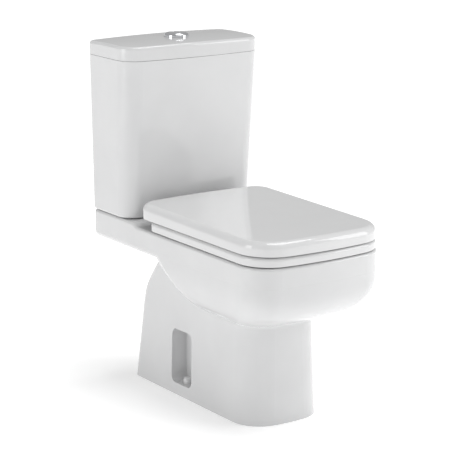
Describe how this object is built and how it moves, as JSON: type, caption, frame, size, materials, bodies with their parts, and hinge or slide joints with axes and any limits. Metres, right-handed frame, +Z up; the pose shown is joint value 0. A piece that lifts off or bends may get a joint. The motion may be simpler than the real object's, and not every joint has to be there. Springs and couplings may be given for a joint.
{
  "type": "close coupled toilet",
  "caption": "Close coupled toilet: china washdown pan and cistern with lift-off lid, hinged seat and cover, dual-flush button, flush valve and fill valve.",
  "frame": {"origin": "on the floor, under the middle of the bounding box", "axes": "+Z up, +Y towards the wall behind the cistern, +X to the right of someone facing the toilet from the front"},
  "size_m": [0.3764, 0.682, 0.8238],
  "materials": {
    "white_china": "high-gloss vitreous glaze",
    "white_seat_plastic": "polished thermoset",
    "chrome": "polished",
    "stainless_steel": "satin",
    "brass": "machined",
    "black_rubber": "matt",
    "grey_rubber": "matt",
    "white_plastic": "satin moulded",
    "blue_plastic": "satin moulded",
    "black_foam": "foam"
  },
  "bodies": {
    "root": {"pan": "white_china", "cistern_tank": "white_china", "tank_pads": "black_foam", "close_coupling_gasket": "black_foam", "flush_valve_back_nut": "white_plastic", "cistern_bolts": "stainless_steel", "cistern_bolt_seals": "black_rubber", "cistern_bolt_washers": "stainless_steel", "cistern_wing_nuts": "brass", "flush_valve_washer": "black_rubber", "flush_valve_base": "white_plastic", "flush_valve_body": "white_plastic", "fill_valve_shank": "brass", "fill_valve_washer": "black_rubber", "fill_valve_lock_nut": "white_plastic", "fill_valve_riser": "white_plastic", "fill_valve_head": "white_plastic", "fill_lever_pin": "stainless_steel", "hinge_blocks": "chrome", "hinge_bolts": "stainless_steel", "hinge_washers": "black_rubber", "hinge_wing_nuts": "white_plastic", "screw_bushes": "white_plastic", "floor_screws": "stainless_steel", "screw_caps": "white_seat_plastic"},
    "seat": {"seat_ring": "white_seat_plastic", "seat_buffers": "grey_rubber", "hinge_pins": "stainless_steel"},
    "cover": {"seat_cover": "white_seat_plastic", "cover_buffers": "grey_rubber"},
    "lid": {"cistern_lid": "white_china", "button_housing": "chrome", "button_nut": "white_plastic", "full_button_spring": "stainless_steel", "half_button_spring": "stainless_steel"},
    "full_button": {"full_flush_button": "chrome", "full_push_rod": "white_plastic"},
    "half_button": {"half_flush_button": "chrome", "half_push_rod": "white_plastic"},
    "flush_valve_stem": {"overflow_tube": "blue_plastic", "valve_seal": "grey_rubber", "valve_float": "white_plastic"},
    "float": {"float_cup": "white_plastic", "float_link": "blue_plastic"},
    "lever": {"float_lever": "blue_plastic"}
  },
  "joints": [
    {"name": "seat_hinge", "type": "hinge", "parent": "root", "child": "seat", "pos_m": [0, 0.115, 0.438], "axis": [-1, 0, 0], "range_deg": [0, 92]},
    {"name": "cover_hinge", "type": "hinge", "parent": "seat", "child": "cover", "pos_m": [0, 0.115, 0.438], "axis": [1, 0, 0], "range_deg": [-92, 0]},
    {"name": "lid_lift", "type": "slide", "parent": "root", "child": "lid", "axis": [0, 0, 1], "range_m": [0, 0.15]},
    {"name": "full_flush_press", "type": "slide", "parent": "lid", "child": "full_button", "axis": [0, 0, -1], "range_m": [0, 0.006], "stiffness_N_per_m": 600, "springref_m": -0.006, "deforming": ["full_button_spring"]},
    {"name": "half_flush_press", "type": "slide", "parent": "lid", "child": "half_button", "axis": [0, 0, -1], "range_m": [0, 0.006], "stiffness_N_per_m": 600, "springref_m": -0.006, "deforming": ["half_button_spring"]},
    {"name": "flush_valve_lift", "type": "slide", "parent": "root", "child": "flush_valve_stem", "axis": [0, 0, 1], "range_m": [0, 0.02]},
    {"name": "float_rise", "type": "slide", "parent": "root", "child": "float", "axis": [0, 0, 1], "range_m": [0, 0.015]},
    {"name": "float_lever_turn", "type": "hinge", "parent": "root", "child": "lever", "pos_m": [-0.144, 0.255, 0.721], "axis": [0, -1, 0], "range_deg": [0, 22.62]}
  ],
  "couplings": [
    {"joint": "flush_valve_lift", "follows": "full_flush_press", "ratio": 3.3333},
    {"joint": "float_lever_turn", "follows": "float_rise", "rad_per_m": 26.3}
  ]
}
